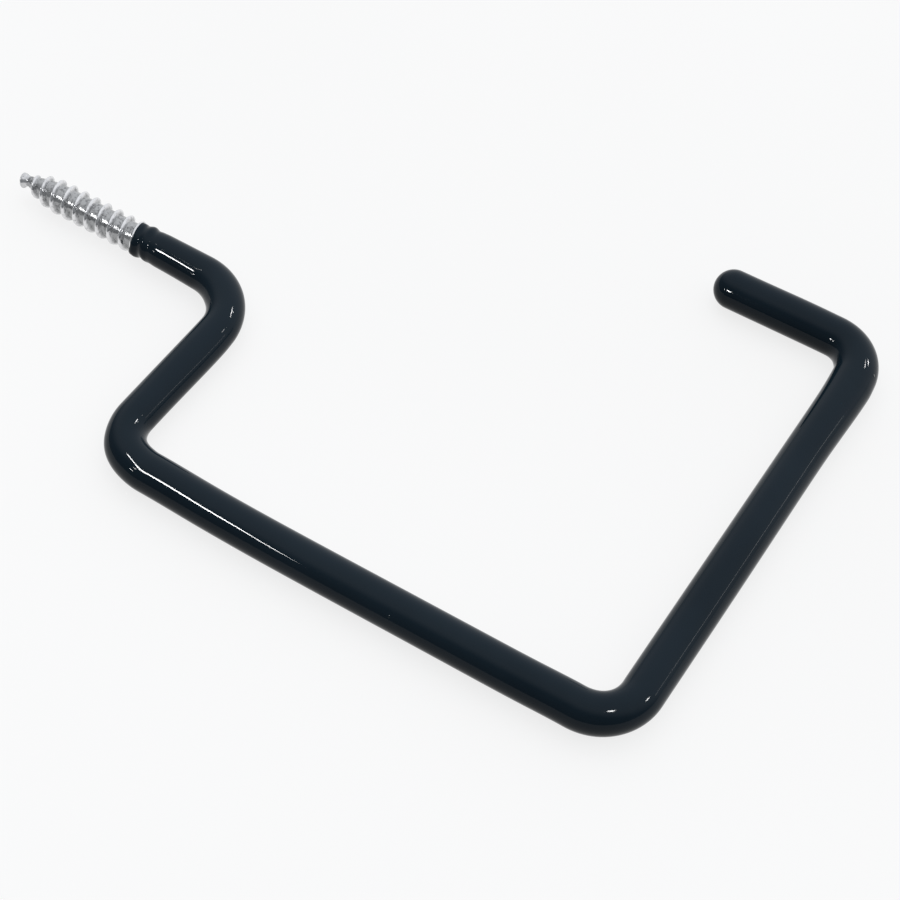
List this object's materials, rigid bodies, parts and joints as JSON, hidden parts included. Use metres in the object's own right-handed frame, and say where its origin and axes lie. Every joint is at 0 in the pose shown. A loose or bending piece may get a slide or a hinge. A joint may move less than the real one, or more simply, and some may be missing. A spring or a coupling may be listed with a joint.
{
  "type": "storage hook",
  "caption": "Screw-in storage hook: a bent steel rod with a coarse wood-screw thread and a dipped vinyl coat, for hanging a ladder or tools on a wall.",
  "frame": {"origin": "on the screw's axis, in the plane of the coat's lip, where the wall's face lies when the hook is driven in", "axes": "+X along the screw's axis, out of the wall; +Y in the hook's plane, from the long arm towards the tip arm, which is up when the hook is on a wall; +Z square to the hook's plane, up as the loose hook lies"},
  "size_m": [0.2141, 0.1404, 0.0102],
  "materials": {
    "zinc_steel": "bright zinc-plated rolled thread",
    "black_vinyl": "glossy dipped vinyl, black with a blue cast"
  },
  "bodies": {
    "root": {"steel_rod": "zinc_steel", "vinyl_coat": "black_vinyl"}
  },
  "joints": []
}
